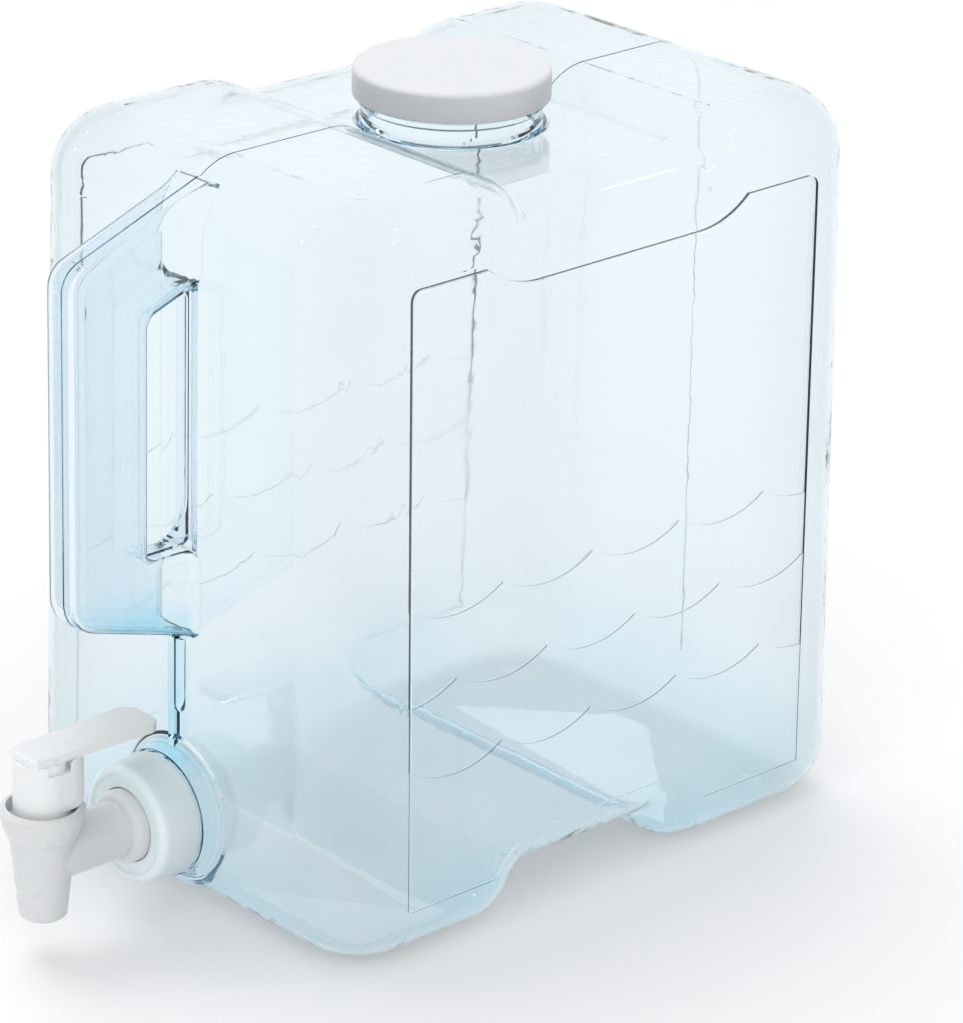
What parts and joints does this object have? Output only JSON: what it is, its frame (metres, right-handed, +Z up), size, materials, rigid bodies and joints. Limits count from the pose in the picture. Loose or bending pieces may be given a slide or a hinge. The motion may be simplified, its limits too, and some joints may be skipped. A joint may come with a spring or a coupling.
{
  "type": "beverage dispenser",
  "caption": "Slim clear plastic beverage dispenser with a loop handle, a white screw cap on top and a white turn tap low on the front.",
  "frame": {"origin": "on the surface it stands on, under the middle of the whole dispenser", "axes": "+Z up; -Y toward the handle and the tap; +X to the right seen from the tap side"},
  "size_m": [0.188, 0.3328, 0.2919],
  "materials": {
    "clear_plastic": "clear, faintly blue, glossy blow-moulded plastic",
    "white_cap": "white, satin-gloss moulded plastic",
    "white_nut": "white, satin-gloss moulded plastic",
    "white_tap": "white, satin-gloss moulded plastic",
    "white_lever": "white, satin-gloss moulded plastic",
    "liner_foam": "soft off-white foam disc",
    "gasket_rubber": "matt pale silicone",
    "seal_rubber": "matt dark rubber"
  },
  "bodies": {
    "body": {"tank": "clear_plastic", "tap_nut": "white_nut", "tap_gasket": "gasket_rubber", "tap_body": "white_tap"},
    "liner": {"cap_liner": "liner_foam"},
    "cap": {"fill_cap": "white_cap"},
    "plug": {"lever_plug": "white_lever", "plug_seal_lower": "seal_rubber", "plug_seal_upper": "seal_rubber"}
  },
  "joints": [
    {"name": "cap_lift", "type": "slide", "parent": "body", "child": "liner", "axis": [0, 0, 1], "range_m": [0, 0.03]},
    {"name": "cap_spin", "type": "hinge", "parent": "liner", "child": "cap", "pos_m": [0, 0.03662, 0.2863], "axis": [0, 0, 1], "range_deg": [0, 2700]},
    {"name": "lever_turn", "type": "hinge", "parent": "body", "child": "plug", "pos_m": [0, -0.15108, 0.06], "axis": [0, 0, -1], "range_deg": [0, 90]}
  ],
  "couplings": [
    {"joint": "cap_spin", "follows": "cap_lift", "rad_per_m": 1570.8}
  ]
}
